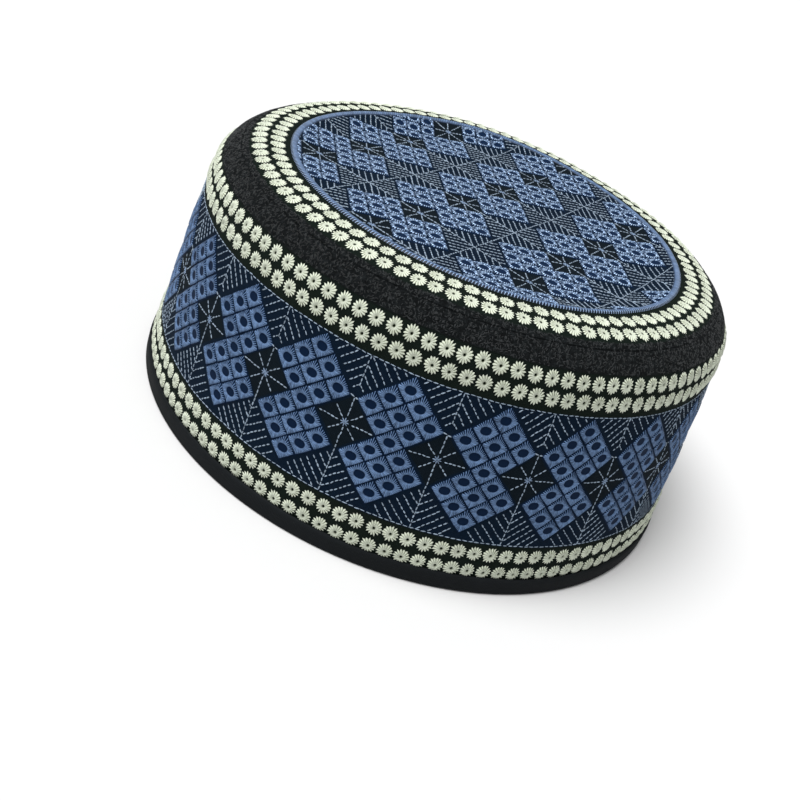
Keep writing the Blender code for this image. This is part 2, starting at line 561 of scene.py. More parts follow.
def cloth_finish(name, colours, zones, period, start, turn):
    """Black tangled stitches on the margins, a smooth black band under the daisies, and on the
    field a dark blue ground with black star diamonds.

    zones gives, from the two directions of the map, how far a place is in the field and in the
    daisies' band.
    """
    make = Finish(name)
    place, across, up = make.chart()
    raised, light = black_stitches(make, place)
    weave = plain_weave(make, place)
    field, band = zones(make, across, up)
    turned_place = make.node(
        "ShaderNodeVectorRotate", {"rotation_type": "Z_AXIS"}, {"Vector": place, "Angle": -turn}
    )
    split = make.node("ShaderNodeSeparateXYZ", None, {0: turned_place})
    star = nearest_star(make, split, make.other(split, 1), period, start)
    diamond = 1.0 - make.ramp(star, 8.2, 8.9)
    weave_light = 0.55 + weave * 0.6 + make.noise(place, 0.6) * 0.35
    ground = make.mix(diamond, linear(colours.field), linear(colours.star_ground))
    colour = make.mix(band, linear(colours.margin), linear(colours.daisy_ground))
    colour = make.mix(field, colour, ground)
    smooth_share = (field + band).math("MINIMUM", 1.0)
    light = light * (1.0 - smooth_share) + weave_light * smooth_share
    colour = make.shade(colour, light)
    height = raised * (1.0 - smooth_share) + weave * smooth_share * 0.35
    return make.finish(colour, 0.9, height, 0.5, Specular_IOR_Level=0.06)


def plain_finish(name, base, wide=1.0):
    """Plain cotton of one colour with a fine weave and soft creases, whose shade is also painted into the
    colour.
    """
    make = Finish(name)
    place, across, up = make.chart()
    weave = plain_weave(make, place)
    crease_and_painted_shade = make.noise(place, 0.09 * wide, 3.0)
    # Painted shade: the creases also darken and lighten the colour.
    light = 0.65 + weave * 0.3 + crease_and_painted_shade * 0.5
    colour = make.shade(linear(base), light)
    height = weave * 0.35 + crease_and_painted_shade * 1.2
    return make.finish(colour, 0.85, height, 0.3, Specular_IOR_Level=0.12)


# Modelling


def start_clean():
    """Leave edit mode and deselect everything."""
    if bpy.context.mode != "OBJECT":
        bpy.ops.object.mode_set(mode="OBJECT")
    bpy.ops.object.select_all(action="DESELECT")


def new_ring(corners, radius):
    """Add an open ring at the origin and enter edit mode."""
    start_clean()
    bpy.ops.mesh.primitive_circle_add(vertices=corners, radius=radius * MM, fill_type="NOTHING")
    bpy.ops.object.mode_set(mode="EDIT")
    return bpy.context.object


def grow_rings(rings):
    """Extrude the selected ring outwards through rows of radius and height."""
    for (radius, height), (next_radius, next_height) in zip(rings, rings[1:]):
        share = next_radius / radius
        bpy.ops.mesh.extrude_region_move(
            TRANSFORM_OT_translate={"value": (0, 0, (next_height - height) * MM)}
        )
        bpy.ops.transform.resize(value=(share, share, 1), center_override=(0, 0, 0))


def select_points(thing, test):
    """In edit mode, select the vertices that pass a test of x, y and z in millimetres."""
    bpy.ops.mesh.select_all(action="DESELECT")
    bpy.ops.mesh.select_mode(type="VERT")
    shape = bmesh.from_edit_mesh(thing.data)
    for vertex in shape.verts:
        vertex.select = bool(test(*(vertex.co / MM)))
    shape.select_flush(True)
    bmesh.update_edit_mesh(thing.data)


def place_map(mesh, place, period):
    """Give a mesh its map. place takes coordinates in millimetres; faces don't straddle the period."""
    layer = mesh.uv_layers.get("UVMap") or mesh.uv_layers.new(name="UVMap")
    points = np.empty(len(mesh.vertices) * 3)
    mesh.vertices.foreach_get("co", points)
    across, up = place(points.reshape(-1, 3) / MM)
    corner = np.empty(len(mesh.loops), int)
    mesh.loops.foreach_get("vertex_index", corner)
    first = np.empty(len(mesh.polygons), int)
    count = np.empty(len(mesh.polygons), int)
    mesh.polygons.foreach_get("loop_start", first)
    mesh.polygons.foreach_get("loop_total", count)
    face = np.repeat(np.arange(len(first)), count)
    values = across[corner]
    highest = np.maximum.reduceat(values, first)[face]
    values = np.where(highest - values > period / 2, values + period, values)
    layer.data.foreach_set("uv", np.stack([values, up[corner]], axis=1).ravel())


def lay_copies(name, master, places):
    """Lay copies of a stitch on the flat chart and keep them as one mesh.

    Each place is x, y, turn, width, height and tint.
    """
    table = np.array(places, float)
    sheet = bpy.data.meshes.new(name)
    sheet.vertices.add(len(table))
    spots = np.zeros((len(table), 3))
    spots[:, :2] = table[:, :2] * MM
    sheet.vertices.foreach_set("co", spots.ravel())
    for label, kind, values in (
        ("turn", "FLOAT", table[:, 2]),
        ("wide", "FLOAT", table[:, 3]),
        ("tall", "FLOAT", table[:, 4]),
        ("tint", "FLOAT", table[:, 5]),
    ):
        sheet.attributes.new(label, kind, "POINT").data.foreach_set("value", values.copy())
    piece = bpy.data.objects.new(name, sheet)
    bpy.context.scene.collection.objects.link(piece)
    tree = bpy.data.node_groups.new(name, "GeometryNodeTree")
    tree.interface.new_socket("Geometry", in_out="INPUT", socket_type="NodeSocketGeometry")
    tree.interface.new_socket("Geometry", in_out="OUTPUT", socket_type="NodeSocketGeometry")
    graph = Graph(tree)
    entry = graph.node("NodeGroupInput")

    def named(label):
        return graph.node("GeometryNodeInputNamedAttribute", {"data_type": "FLOAT"}, {"Name": label})

    stitch = graph.node("GeometryNodeObjectInfo", None, {"Object": master})
    stitch = graph.other(stitch, "Geometry")
    turn = graph.node("ShaderNodeCombineXYZ", None, {2: named("turn")})
    size = graph.node("ShaderNodeCombineXYZ", None, {0: named("wide"), 1: named("tall"), 2: 1.0})
    laid = graph.node(
        "GeometryNodeInstanceOnPoints",
        None,
        {"Points": entry, "Instance": stitch, "Rotation": turn, "Scale": size},
    )
    real = graph.node("GeometryNodeRealizeInstances", None, {"Geometry": laid})
    graph.node("NodeGroupOutput", None, {"Geometry": real})
    modifier = piece.modifiers.new("Copies", "NODES")
    modifier.node_group = tree
    start_clean()
    bpy.context.view_layer.objects.active = piece
    piece.select_set(True)
    bpy.ops.object.modifier_apply(modifier=modifier.name)
    bpy.data.node_groups.remove(tree)
    return piece


def wrap(piece, crown=False):
    """Wrap a flat piece over the side or the crown of the cap."""
    mesh = piece.data
    points = np.empty(len(mesh.vertices) * 3)
    mesh.vertices.foreach_get("co", points)
    x, y, lift = (points.reshape(-1, 3) / MM).T
    if crown:
        angle = np.arctan2(y, x)
        along = FULL_LENGTH - np.hypot(x, y)
    else:
        angle = x / SIDE_SHARE
        along = y
    mesh.vertices.foreach_set("co", (on_cap(angle, along, lift) * MM).ravel())
    mesh.update()


def settle(piece):
    """Move a flat pattern of the crown to where the round chart has it, before it is drawn out."""
    points = np.empty(len(piece.data.vertices) * 3)
    piece.data.vertices.foreach_get("co", points)
    points = points.reshape(-1, 3) / MM
    points[:, 0], points[:, 1] = before_drawn(points[:, 0], points[:, 1])
    piece.data.vertices.foreach_set("co", (points * MM).ravel())
    piece.data.update()


def keep(piece, name, slot, *finishes):
    """Name a finished piece, give it its materials and let it ride on the cap."""
    piece.name = name
    piece.data.name = name
    piece.data.materials.clear()
    for finish in finishes:
        piece.data.materials.append(finish)
    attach(piece, "root")
    return piece


def discard(*things):
    """Remove objects that were only patterns for others."""
    for thing in things:
        bpy.data.objects.remove(thing, do_unlink=True)


def chance():
    """The same unevenness each time the cap is made."""
    return np.random.default_rng(SEED)


# Charts


def daisy_places(rows, sizes, crown):
    """Places of the daisies in rings."""
    luck = chance()
    places = []
    for row, count, phase in rows:
        for number in range(count):
            angle = math.radians(phase + 360 * number / count + luck.normal(0, 0.05))
            turn = luck.normal(0, 0.12)
            wide = luck.normal(1, 0.025)
            tall = luck.normal(1, 0.02)
            tint = luck.random()
            if crown:
                reach = FULL_LENGTH - along_at_radius(row) + luck.normal(0, 0.06)
                spot = (reach * math.cos(angle), reach * math.sin(angle))
                turn += angle - math.pi / 2
            else:
                angle = (angle + math.pi) % (2 * math.pi) - math.pi
                spot = (angle * SIDE_SHARE, row + luck.normal(0, 0.06))
            places.append((*spot, turn, wide, tall, tint))
    return places


def figure_cells(cell):
    """Middles of the 17 eyelet squares of one figure, from its middle."""
    spots = []
    for row, count in enumerate(FIGURE_ROWS):
        for column in range(count):
            spots.append(((2 * column - count + 1) * cell[0], (4 - row) * cell[1]))
    return spots


def stitched_line(start, end, pitch):
    """Dashes of a running stitch from one point to another, as middle and direction."""
    (x, y), (end_x, end_y) = start, end
    length = math.hypot(end_x - x, end_y - y)
    count = max(1, round(length / pitch))
    direction = math.atan2(end_y - y, end_x - x)
    return [
        (
            x + (end_x - x) * (number + 0.5) / count,
            y + (end_y - y) * (number + 0.5) / count,
            direction,
            length / count,
        )
        for number in range(count)
    ]


def repeat_lines(half, upper, lower):
    """Lines of one repeat round a star: its rays, the spines and the slanting lines of both valleys."""
    lines = [
        ((-8.2, 0), (-1.9, 0)),
        ((1.9, 0), (8.2, 0)),
        ((0, 1.9), (0, 8.0)),
        ((0, -1.3), (0, -lower)),
        ((0, upper), (0, 11.4)),
        ((-1.7, 8.6), (0, 8.1)),
        ((0, 8.1), (1.3, 8.0)),
    ]
    for side in (-1, 1):
        for up in (-1, 1):
            lines.append(((side * 4.1, up * 4.0), (side * 1.1, up * 1.2)))
    for side in (-1, 1):
        for number in range(7):
            x = 1.75 + 1.56 * number
            for up, limit in ((1, upper), (-1, lower)):
                y = 10.4 + 1.53 * number
                run = min(x - 0.25, limit - 0.3 - y)
                if run > 0.7:
                    lines.append(((side * x, up * y), (side * (x - run), up * (y + run))))
    return lines


# Settings


class KufiSizes(bpy.types.PropertyGroup):
    """Sizes of the embroidery"""

    daisy_height: bpy.props.FloatProperty(
        name="Daisy height", description="Across a daisy, along the cap's side, in mm", default=5.2
    )
    daisy_width: bpy.props.FloatProperty(
        name="Daisy width", description="Across a daisy, round the cap, in mm", default=4.85
    )
    daisy_relief: bpy.props.FloatProperty(
        name="Daisy relief", description="How far a daisy of the side stands off, in mm", default=0.75
    )
    flat_relief: bpy.props.FloatProperty(
        name="Crown daisy relief",
        description="How far a daisy of the crown stands off, in mm",
        default=0.5,
    )
    petals: bpy.props.IntProperty(name="Petals", description="Petals of a daisy", default=15)
    hole_width: bpy.props.FloatProperty(
        name="Eyelet width", description="Across an eyelet's hole, in mm", default=3.5
    )
    hole_height: bpy.props.FloatProperty(
        name="Eyelet height", description="Height of an eyelet's hole, in mm", default=2.87
    )
    square_relief: bpy.props.FloatProperty(
        name="Square relief", description="How far an eyelet square stands off, in mm", default=0.42
    )
    dash_pitch: bpy.props.FloatProperty(
        name="Stitch pitch", description="Length of a running stitch and its gap, in mm", default=1.4
    )
    dash_width: bpy.props.FloatProperty(
        name="Stitch width", description="Width of a running stitch, in mm", default=0.42
    )
    margin_stitches: bpy.props.FloatProperty(
        name="Margin stitches",
        description="Black seed stitches on each square millimetre of the margins",
        default=1.9,
    )
    ring_radius: bpy.props.FloatProperty(
        name="Ring radius", description="Outer radius of the blue ring on the crown, in mm", default=65.9
    )
    ring_width: bpy.props.FloatProperty(
        name="Ring width", description="Width of the blue ring, in mm", default=2.4
    )
    turn_steps: bpy.props.IntProperty(
        name="Turn steps", description="Faces round the turned cloth", default=180
    )


def colour_property(name, description, default):
    """A colour setting."""
    return bpy.props.FloatVectorProperty(
        name=name, description=description, default=default, subtype="COLOR", size=3, min=0, max=1
    )


class KufiColours(bpy.types.PropertyGroup):
    """Colours of thread and cloth"""

    cream: colour_property("Cream", "Thread of the daisies", (0.81, 0.87, 0.72))
    # The cream thread in the painted shade between the petals.
    cream_in_painted_shade: colour_property("Cream shade", "Cream thread between the petals", (0.50, 0.56, 0.36))
    blue: colour_property("Blue", "Satin thread of the squares and the ring", (0.153, 0.250, 0.440))
    running: colour_property("Pale blue", "Thread of the running stitches", (0.33, 0.42, 0.53))
    groove: colour_property("Groove", "Ground between the squares", (0.003, 0.012, 0.036))
    margin: colour_property("Margin", "Black stitches of the margins", (0.0105, 0.0125, 0.0135))
    daisy_ground: colour_property("Daisy ground", "Black cotton between daisies", (0.0062, 0.0110, 0.0085))
    field: colour_property("Field", "Dark blue ground", (0.0028, 0.0098, 0.0225))
    star_ground: colour_property("Star ground", "Black ground round the stars", (0.0042, 0.0088, 0.0135))
    hem: colour_property("Hem", "Folded strip round the rim", (0.0068, 0.0084, 0.0098))
    lining: colour_property("Lining", "Inside of the cap", (0.020, 0.022, 0.028))


class KufiSettings(bpy.types.PropertyGroup):
    """Everything that a user would change"""

    sizes: bpy.props.PointerProperty(type=KufiSizes)
    colours: bpy.props.PointerProperty(type=KufiColours)


# Cloth


def section_ring(name, outline, closed):
    """Lay a section in the XZ plane, ready to be spun round the axis."""
    thing = new_ring(len(outline), 10.0)
    shape = bmesh.from_edit_mesh(thing.data)
    shape.verts.ensure_lookup_table()
    for vertex, (radius, height) in zip(shape.verts, outline):
        vertex.co = (radius * MM, 0, height * MM)
    bmesh.update_edit_mesh(thing.data)
    if not closed:
        select_points(thing, lambda x, y, z: x < 0.001)
        bpy.ops.mesh.delete(type="EDGE")
    thing.name = name
    return thing


def spin(thing, steps):
    """Spin a section once round the axis and close its seam and poles."""
    bpy.ops.mesh.select_all(action="SELECT")
    bpy.ops.mesh.spin(steps=steps, angle=2 * math.pi, center=(0, 0, 0), axis=(0, 0, 1))
    bpy.ops.mesh.select_all(action="SELECT")
    bpy.ops.mesh.remove_doubles(threshold=0.02 * MM)
    bpy.ops.mesh.normals_make_consistent(inside=False)
    bpy.ops.object.mode_set(mode="OBJECT")


def seam_edge(side):
    """The cloth's rounded turn at the seam and its turned-in edge, from the outer face to the inner one."""
    shift = (SEAM_LIP + SEAM_GAP / 2) / (SHOULDER_RADIUS - SEAM_LIP)
    angle = SEAM_ANGLE + side * shift
    centre = np.array(SHOULDER_CENTRE)
    lip = centre + (SHOULDER_RADIUS - SEAM_LIP) * np.array([math.cos(angle), math.sin(angle)])
    points = []
    for step in range(7):
        turn = SEAM_ANGLE + side * (shift - math.pi / 2 * step / 6)
        points.append(lip + SEAM_LIP * np.array([math.cos(turn), math.sin(turn)]))
    outward = np.array([math.cos(SEAM_ANGLE), math.sin(SEAM_ANGLE)])
    aside = side * np.array([-math.sin(SEAM_ANGLE), math.cos(SEAM_ANGLE)])
    for across, depth in (
        (SEAM_GAP / 2, SEAM_ALLOWANCE),
        (SEAM_GAP / 2 + WALL, SEAM_ALLOWANCE),
        (SEAM_GAP / 2 + WALL, WALL),
    ):
        points.append(centre + (SHOULDER_RADIUS - depth) * outward + across * aside)
    return points


def face_run(start, end, step, depth=0.0):
    """Points along the face between two lengths, sunk by a depth."""
    count = max(2, int(abs(end - start) / step) + 1)
    along = np.linspace(start, end, count)
    slope_radius = np.interp(along, FINE, SLOPE_RADIUS)
    slope_height = np.interp(along, FINE, SLOPE_HEIGHT)
    length = np.hypot(slope_radius, slope_height)
    radius = np.interp(along, FINE, FINE_RADIUS) - depth * slope_height / length
    height = np.interp(along, FINE, FINE_HEIGHT) + depth * slope_radius / length
    return [np.array([max(0.0, r), z]) for r, z in zip(radius, height)]


def crown_section():
    """Section of the crown from the middle of its top round to the middle of its underside."""
    shift = SEAM_LIP + SEAM_GAP
    seam = seam_along()
    top = face_run(FULL_LENGTH, seam + shift, 1.6)
    under = face_run(seam + WALL + 2.4, FULL_LENGTH, 4.0, WALL)
    return top[:-1] + seam_edge(1) + under


def side_section():
    """Section of the side band, down its outer face from the seam and back up inside."""
    seam = seam_along()
    face = face_run(seam - SEAM_LIP - SEAM_GAP, FOOT_HEIGHT, 1.6)
    inside = face_run(FOOT_HEIGHT, seam - WALL - 2.4, 4.0, WALL)
    return list(reversed(seam_edge(-1)))[3:] + face[1:] + inside + list(reversed(seam_edge(-1)))[:3]


def hem_section():
    """Section of the folded strip: a U round the lower edge of the wall."""
    outer = RIM_RADIUS
    strip = 1.0
    inner = RIM_RADIUS - 4.6
    rows = [(outer - strip - 0.06, 5.6), (outer - 0.6, 5.62), (outer - 0.18, 5.3)]
    rows += [(outer - 0.02, height) for height in (4.2, 2.9, 1.7)]
    rows += [(outer - 0.02, 0.9), (outer - 0.22, 0.28), (outer - 0.7, 0.0), (outer - 2.3, 0.0)]
    rows += [(inner + 0.7, 0.0), (inner + 0.2, 0.28), (inner, 0.9)]
    rows += [(inner - 0.02, height) for height in (2.4, 4.2, 5.9)]
    rows += [(inner + 0.14, 6.85), (inner + 0.5, 7.0), (inner + strip - 0.1, 6.9)]
    rows += [(inner + strip, 1.0), (outer - strip, 1.0)]
    return rows


def uneven_face(piece):
    """Give a turned piece the cloth's unevenness on its outer face, and press it oval."""
    mesh = piece.data
    points = np.empty(len(mesh.vertices) * 3)
    mesh.vertices.foreach_get("co", points)
    points = points.reshape(-1, 3) / MM
    angle, along, sunk = nearest_on_face(points)
    share = np.clip(1 - sunk / 1.0, 0, 1)
    slope_radius = np.interp(along, FINE, SLOPE_RADIUS)
    slope_height = np.interp(along, FINE, SLOPE_HEIGHT)
    lift = unevenness(points) * share
    radius = np.hypot(points[:, 0], points[:, 1]) + lift * slope_height
    height = points[:, 2] - lift * slope_radius
    moved = np.stack([radius * np.cos(angle), radius * np.sin(angle), height], axis=1)
    moved[:, 2] += crown_bow(moved[:, 0], moved[:, 1])
    mesh.vertices.foreach_set("co", (press_oval(moved) * MM).ravel())
    mesh.update()


def nearest_on_face(points):
    """Angle, length along the face and depth under it of each point."""
    radius = np.hypot(points[:, 0], points[:, 1])
    angle = np.arctan2(points[:, 1], points[:, 0])
    apart = (radius[:, None] - FINE_RADIUS) ** 2 + (points[:, 2][:, None] - FINE_HEIGHT) ** 2
    nearest = np.argmin(apart, axis=1)
    return angle, FINE[nearest], np.sqrt(apart[np.arange(len(nearest)), nearest])


def side_map(points):
    """Map of the side in millimetres: round the cap and along the cloth."""
    angle, along, sunk = nearest_on_face(points)
    return angle * SIDE_SHARE, along


def crown_map(points):
    """Map of the crown in millimetres, laid flat."""
    angle, along, sunk = nearest_on_face(points)
    reach = FULL_LENGTH - along
    return drawn_back(reach * np.cos(angle), reach * np.sin(angle))


def mark_reach(piece):
    """Store how far each point of the crown lies from its middle along the cloth."""
    mesh = piece.data
    points = np.empty(len(mesh.vertices) * 3)
    mesh.vertices.foreach_get("co", points)
    _, along, _ = nearest_on_face(points.reshape(-1, 3) / MM)
    reach = mesh.attributes.new("reach", "FLOAT", "POINT")
    reach.data.foreach_set("value", FULL_LENGTH - along)


def mark_lining(piece):
    """Give the inner faces of a turned piece its second material."""
    mesh = piece.data
    for face in mesh.polygons:
        middle = np.array([face.center / MM])
        _, _, sunk = nearest_on_face(middle)
        face.material_index = 1 if sunk[0] > 1.3 else 0


def side_zones(make, across, up):
    """Field between the two stitched lines of the side, and the bands of daisies above and below."""
    field = make.ramp(up, LOWER_LINE - 0.5, LOWER_LINE) - make.ramp(up, UPPER_LINE, UPPER_LINE + 0.5)
    above = make.ramp(up, UPPER_LINE, UPPER_LINE + 0.5) - make.ramp(up, 73.6, 74.6)
    below = make.ramp(up, 4.0, 5.0) - make.ramp(up, LOWER_LINE - 0.5, LOWER_LINE)
    return field, above + below


def crown_zones(make, across, up):
    """Field inside the ring of the crown, and the band of daisies round it."""
    reach = make.node("ShaderNodeAttribute", {"attribute_name": "reach"}, output=2)
    outside = make.ramp(reach, 64.6, 65.0)
    edge = FULL_LENGTH - along_at_radius(77.9)
    return 1.0 - outside, outside - make.ramp(reach, edge, edge + 0.8)


class KUFI_OT_cloth(bpy.types.Operator):
    """Turn the crown, the side band and the folded strip of the rim"""

    bl_idname = "kufi.cloth"
    bl_label = "Turn the cloth"

    def execute(self, context):
        settings = context.scene.kufi
        steps = settings.sizes.turn_steps
        colours = settings.colours
        lining = plain_finish("cotton_lining", colours.lining)
        round_length = 2 * math.pi * SIDE_SHARE
        side_start = (STAR_ANGLE * SIDE_SHARE, STAR_HEIGHT)
        side_period = (round_length / REPEATS, 1000.0)
        turn = CROWN_TURN
        crown_start = (
            CROWN_STAR[0] * math.cos(turn) + CROWN_STAR[1] * math.sin(turn),
            CROWN_STAR[1] * math.cos(turn) - CROWN_STAR[0] * math.sin(turn),
        )
        crown = section_ring("crown_cloth", crown_section(), closed=False)
        spin(crown, steps)
        place_map(crown.data, crown_map, 1e9)
        mark_reach(crown)
        mark_lining(crown)
        uneven_face(crown)
        finish = cloth_finish(
            "crown_cotton", colours, crown_zones, CROWN_PERIOD, crown_start, turn
        )
        self.finish(crown, "crown", "crown_cotton", finish, lining)

        side = section_ring("side_cloth", side_section(), closed=True)
        spin(side, steps)
        place_map(side.data, side_map, round_length)
        mark_lining(side)
        uneven_face(side)
        finish = cloth_finish("side_cotton", colours, side_zones, side_period, side_start, 0.0)
        self.finish(side, "side_band", "side_cotton", finish, lining)

        hem = section_ring("hem_strip", hem_section(), closed=True)
        spin(hem, steps)
        place_map(hem.data, side_map, round_length)
        uneven_hem(hem)
        self.finish(hem, "hem_binding", "hem_cotton", plain_finish("hem_cotton", colours.hem))
        return {"FINISHED"}

    def finish(self, piece, node, slot, *finishes):
        """Shade a turned piece smooth and let it stand for its solid."""
        lining_faces = np.empty(len(piece.data.polygons), int)
        piece.data.polygons.foreach_get("material_index", lining_faces)
        keep(piece, piece.name, slot, *finishes)
        piece.data.polygons.foreach_set("material_index", lining_faces)
        start_clean()
        bpy.context.view_layer.objects.active = piece
        piece.select_set(True)
        bpy.ops.object.shade_smooth_by_angle(angle=math.radians(50))
        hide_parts(node)


def uneven_hem(piece):
    """Let the folded strip's outer side follow the cloth a little."""
    mesh = piece.data
    points = np.empty(len(mesh.vertices) * 3)
    mesh.vertices.foreach_get("co", points)
    points = points.reshape(-1, 3) / MM
    angle = np.arctan2(points[:, 1], points[:, 0])
    outer = np.hypot(points[:, 0], points[:, 1]) > RIM_RADIUS - 1.2
    ripple = 0.10 * np.sin(9 * angle + 0.5) + 0.07 * np.sin(23 * angle + 1.9)
    share = np.clip(points[:, 2] / 5.6, 0, 1) * outer
    points[:, 2] += ripple * share
    mesh.vertices.foreach_set("co", (points * MM).ravel())
    mesh.update()


# Daisies


def daisy_master(sizes, relief, luck):
    """One daisy: rings grown from its eye, every third spoke drawn in as a slit between petals.

    Each petal is a little longer or shorter and a little out of line.
    """
    reach = sizes.daisy_height / 2
    eye = 0.30
    spokes = 3 * sizes.petals
    thing = new_ring(spokes, eye)
    grow_rings([(eye, 0.1 * relief), (0.80, relief), (reach, 0.25 * relief)])
    bpy.ops.object.mode_set(mode="OBJECT")

    def petal_map(points):
        angle = np.arctan2(points[:, 0], points[:, 1]) % (2 * math.pi)
        return angle / (2 * math.pi) * sizes.petals, np.hypot(points[:, 0], points[:, 1])

    place_map(thing.data, petal_map, sizes.petals)
    bpy.ops.object.mode_set(mode="EDIT")
    shape = bmesh.from_edit_mesh(thing.data)
    outer = {}
    for vertex in shape.verts:
        x, y = vertex.co.x / MM, vertex.co.y / MM
        if math.hypot(x, y) > 0.9 * reach:
            outer[round(math.atan2(x, y) / (2 * math.pi) * spokes) % spokes] = vertex.index
    for petal in range(sizes.petals):
        slit, left, right = (3 * petal + step for step in range(3))
        swing = math.radians(luck.normal(0, 1.0))
        length = luck.normal(0.98, 0.045)
        select_numbers(thing, [outer[left]])
        turn_about_eye(swing + math.radians(3.0), length)
        select_numbers(thing, [outer[right]])
        turn_about_eye(swing - math.radians(3.0), length * luck.normal(1, 0.02))
        select_numbers(thing, [outer[slit]])
        turn_about_eye(0.0, min(0.82, luck.normal(0.74, 0.05)))
        bpy.ops.transform.translate(value=(0, 0, -0.2 * relief * MM))
    bpy.ops.mesh.select_all(action="SELECT")
    bpy.ops.transform.resize(
        value=(sizes.daisy_width / sizes.daisy_height, 1, 1), center_override=(0, 0, 0)
    )
    bpy.ops.mesh.normals_make_consistent(inside=False)
    bpy.ops.object.mode_set(mode="OBJECT")
    return thing


def select_numbers(thing, numbers):
    """In edit mode, select vertices by their number."""
    bpy.ops.mesh.select_all(action="DESELECT")
    bpy.ops.mesh.select_mode(type="VERT")
    shape = bmesh.from_edit_mesh(thing.data)
    shape.verts.ensure_lookup_table()
    for number in numbers:
        shape.verts[number].select = True
    shape.select_flush(True)
    bmesh.update_edit_mesh(thing.data)


def turn_about_eye(angle, share):
    """Turn and scale what is selected about the origin, in the flat."""
    if angle:
        bpy.ops.transform.rotate(value=angle, orient_axis="Z", center_override=(0, 0, 0))
    bpy.ops.transform.resize(value=(share, share, 1), center_override=(0, 0, 0))


def join(pieces):
    """Join pieces into the first."""
    start_clean()
    for piece in pieces:
        piece.select_set(True)
    bpy.context.view_layer.objects.active = pieces[0]
    bpy.ops.object.join()
    return pieces[0]


class KUFI_OT_daisies(bpy.types.Operator):
    """Sew the four rows of daisies on the side and the two rings of them on the crown"""

    bl_idname = "kufi.daisies"
    bl_label = "Sew the daisies"

    def execute(self, context):
        settings = context.scene.kufi
        sizes = settings.sizes
        luck = chance()
        thread = daisy_thread(settings.colours)
        for name, rows, slot, crown, relief in (
            ("side_daisies", SIDE_DAISIES, "side_cotton", False, sizes.daisy_relief),
            ("crown_daisies", CROWN_DAISIES, "crown_cotton", True, sizes.flat_relief),
        ):
            masters = [daisy_master(sizes, relief, luck) for number in range(DAISY_KINDS)]
            places = daisy_places(rows, sizes, crown)
            kinds = luck.integers(0, DAISY_KINDS, len(places))
            parts = []
            for kind, master in enumerate(masters):
                own = [place for place, number in zip(places, kinds) if number == kind]
                parts.append(lay_copies(name, master, own))
            piece = join(parts)
            wrap(piece, crown)
            piece.data.shade_smooth()
            keep(piece, name, slot, thread)
            discard(*masters)
        return {"FINISHED"}


# Eyelet squares


def square_master(sizes, cell, threads, eye):
    """One eyelet square: a dark floor, and rings grown from it to a square standing on its corner."""
    wide, tall = eye * sizes.hole_width / 2, eye * sizes.hole_height / 2
    relief, floor = sizes.square_relief, 0.05
    corners = 24
    thing = new_ring(corners, 0.8 * wide)
    bpy.ops.transform.resize(value=(1, tall / wide, 1), center_override=(0, 0, 0))
    bpy.ops.transform.translate(value=(0, 0, floor * MM))
    grow_rings([(0.8, floor), (1.0, floor), (1.13, 0.75 * relief), (1.5, relief), (3.0, -0.03)])
    select_points(thing, lambda x, y, z: math.hypot(x / wide, y / tall) < 0.9)
    bpy.ops.mesh.edge_face_add()

    def square_reach(x, y):
        angle = np.arctan2(y, x)
        return 1 / (np.abs(np.cos(angle)) / cell[0] + np.abs(np.sin(angle)) / cell[1])

    def hole_reach(x, y):
        angle = np.arctan2(y, x)
        return 1 / np.hypot(np.cos(angle) / wide, np.sin(angle) / tall)

    shape = bmesh.from_edit_mesh(thing.data)
    shape.verts.ensure_lookup_table()
    for number, vertex in enumerate(shape.verts):
        ring = number // corners
        if ring < 3:
            continue
        x, y = vertex.co.x / MM, vertex.co.y / MM
        hole, edge = float(hole_reach(x, y)), float(square_reach(x, y))
        share = 0.55 if ring == 3 else 1.0
        scale = (hole + share * (edge - hole)) / math.hypot(x, y)
        vertex.co.x *= scale
        vertex.co.y *= scale
    bmesh.update_edit_mesh(thing.data)
    bpy.ops.mesh.select_all(action="SELECT")
    bpy.ops.mesh.normals_make_consistent(inside=False)
    bpy.ops.object.mode_set(mode="OBJECT")

    def thread_map(points):
        x, y = points[:, 0], points[:, 1]
        angle = np.arctan2(y, x) % (2 * math.pi)
        hole, edge = hole_reach(x, y), square_reach(x, y)
        return angle / (2 * math.pi) * threads, (np.hypot(x, y) - hole) / (edge - hole)

    place_map(thing.data, thread_map, threads)
    return thing


def side_square_places():
    """Places of the eyelet squares of the side."""
    luck = chance()
    places = []
    for number in range(REPEATS):
        angle = STAR_ANGLE + 2 * math.pi * (number + 0.5) / REPEATS
        angle = (angle + math.pi) % (2 * math.pi) - math.pi
        middle = angle * SIDE_SHARE + luck.normal(0, 0.15)
        for x, y in figure_cells(SIDE_CELL):
            places.append(
                (
                    middle + x + luck.normal(0, 0.05),
                    STAR_HEIGHT - 0.1 + y + luck.normal(0, 0.05),
                    luck.normal(0, 0.02),
                    luck.normal(1, 0.012),
                    luck.normal(1, 0.012),
                    luck.random(),
                )
            )
    return places


def crown_stars():
    """Middles of the stars of the crown's chart that may matter inside the ring."""
    across = np.array([math.cos(CROWN_TURN), math.sin(CROWN_TURN)])
    up = np.array([-math.sin(CROWN_TURN), math.cos(CROWN_TURN)])
    stars = []
    for i in range(-5, 6):
        for j in range(-3, 4):
            stars.append(
                np.array(CROWN_STAR) + i * CROWN_PERIOD[0] * across + j * CROWN_PERIOD[1] * up
            )
    return stars, across, up


def crown_square_places(limit):
    """Places of the eyelet squares of the crown, out to a reach from its middle."""
    luck = chance()
    stars, across, up = crown_stars()
    places = []
    for star in stars:
        for x, y in figure_cells(CROWN_CELL):
            spot = star + (x + CROWN_PERIOD[0] / 2) * across + y * up + luck.normal(0, 0.05, 2)
            values = (
                CROWN_TURN + luck.normal(0, 0.02),
                luck.normal(1, 0.012),
                luck.normal(1, 0.012),
                luck.random(),
            )
            if round_reach(spot) < limit:
                places.append((*spot, *values))
    return places


